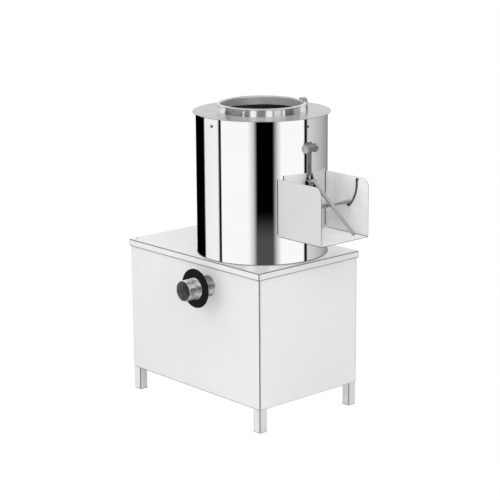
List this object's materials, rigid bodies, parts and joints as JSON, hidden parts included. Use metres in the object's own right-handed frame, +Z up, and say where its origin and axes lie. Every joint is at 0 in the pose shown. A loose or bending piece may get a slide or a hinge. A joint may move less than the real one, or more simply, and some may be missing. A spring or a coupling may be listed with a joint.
{
  "type": "electric potato peeler",
  "caption": "Floor-standing electric potato peeler: polished drum with a turning abrasive disc on a sheet-steel cabinet, loading collar on top, hinged door with an open chute, drain pipe.",
  "frame": {"origin": "on the floor, under the middle of the whole machine's bounding box", "axes": "+X to the right, towards the chute; +Y to the back, away from the drain pipe; +Z up, along the drum's axis"},
  "size_m": [0.8512, 0.5376, 0.9625],
  "materials": {
    "sheet_steel": "satin",
    "mirror_steel": "polished",
    "door_steel": "dull",
    "frame_paint": "semi-gloss grey paint",
    "zinc": "zinc-plated",
    "galvanised": "galvanised",
    "black_rubber": "matte",
    "abrasive": "coarse grit",
    "disc_casting": "grit-coated casting",
    "grey_iron": "painted casting",
    "motor_paint": "painted",
    "motor_core": "laminations and windings",
    "black_plastic": "matte",
    "box_plastic": "matte",
    "green_plastic": "gloss",
    "red_plastic": "gloss"
  },
  "bodies": {
    "cabinet": {"table_top": "sheet_steel", "front_panel": "sheet_steel", "right_panel": "sheet_steel", "left_panel": "sheet_steel", "back_panel": "sheet_steel", "leg_front_left": "sheet_steel", "leg_front_right": "sheet_steel", "leg_back_left": "sheet_steel", "leg_back_right": "sheet_steel", "foot_plugs": "black_plastic", "frame_rails": "frame_paint", "middle_rails": "frame_paint", "sheet_screws": "zinc", "drum_shell": "mirror_steel", "abrasive_liner": "abrasive", "top_plate": "sheet_steel", "loading_collar": "mirror_steel", "cover_screws": "zinc", "drain_pan": "sheet_steel", "shaft_seal": "black_rubber", "bearing_housing": "grey_iron", "spindle_bearings": "zinc", "m8_bolts": "zinc", "v_belt": "black_rubber", "motor_rails": "frame_paint", "motor_plate": "frame_paint", "motor_housing": "motor_paint", "motor_stator": "motor_core", "motor_upper_shield": "motor_paint", "motor_lower_shield": "motor_paint", "fan_cover": "motor_paint", "terminal_box": "black_plastic", "motor_lead": "black_rubber", "drain_pipe": "galvanised", "rubber_flange": "black_rubber", "chute": "sheet_steel", "hook_rails": "door_steel", "door_bracket": "door_steel", "hinge_bolt": "door_steel", "water_inlet": "mirror_steel", "starter_box": "box_plastic", "starter_cover": "box_plastic", "cable_gland": "black_plastic"},
    "spindle": {"spindle": "zinc", "abrasive_disc": "disc_casting", "disc_cap_nut": "zinc", "driven_pulley": "grey_iron"},
    "motor_rotor": {"motor_shaft": "zinc", "motor_rotor": "motor_core", "motor_fan": "black_plastic", "motor_pulley": "grey_iron"},
    "door": {"door_arm": "door_steel", "door_panel": "sheet_steel", "door_gasket": "black_rubber", "door_pad": "abrasive", "pivot_bolt": "door_steel"},
    "handle": {"handle_rod": "mirror_steel", "handle_cross_bar": "mirror_steel"},
    "start_button": {"start_button": "green_plastic"},
    "stop_button": {"stop_button": "red_plastic"}
  },
  "joints": [
    {"name": "spindle_spin", "type": "hinge", "parent": "cabinet", "child": "spindle", "pos_m": [0.02643, 0.03515, 0.4], "axis": [0, 0, 1], "continuous": true},
    {"name": "motor_spin", "type": "hinge", "parent": "cabinet", "child": "motor_rotor", "pos_m": [-0.22857, 0.03515, 0.25], "axis": [0, 0, 1], "continuous": true},
    {"name": "door_swing", "type": "hinge", "parent": "cabinet", "child": "door", "pos_m": [0.23843, 0.03515, 0.84], "axis": [0, -1, 0], "range_deg": [0, 75]},
    {"name": "handle_lift", "type": "hinge", "parent": "door", "child": "handle", "pos_m": [0.24243, 0.03515, 0.737], "axis": [0, -1, 0], "range_deg": [0, 50]},
    {"name": "start_press", "type": "slide", "parent": "cabinet", "child": "start_button", "axis": [1, 0, 0], "range_m": [0, 0.004], "stiffness_N_per_m": 800},
    {"name": "stop_press", "type": "slide", "parent": "cabinet", "child": "stop_button", "axis": [1, 0, 0], "range_m": [0, 0.004], "stiffness_N_per_m": 800}
  ],
  "couplings": [
    {"joint": "motor_spin", "follows": "spindle_spin", "ratio": 4}
  ]
}
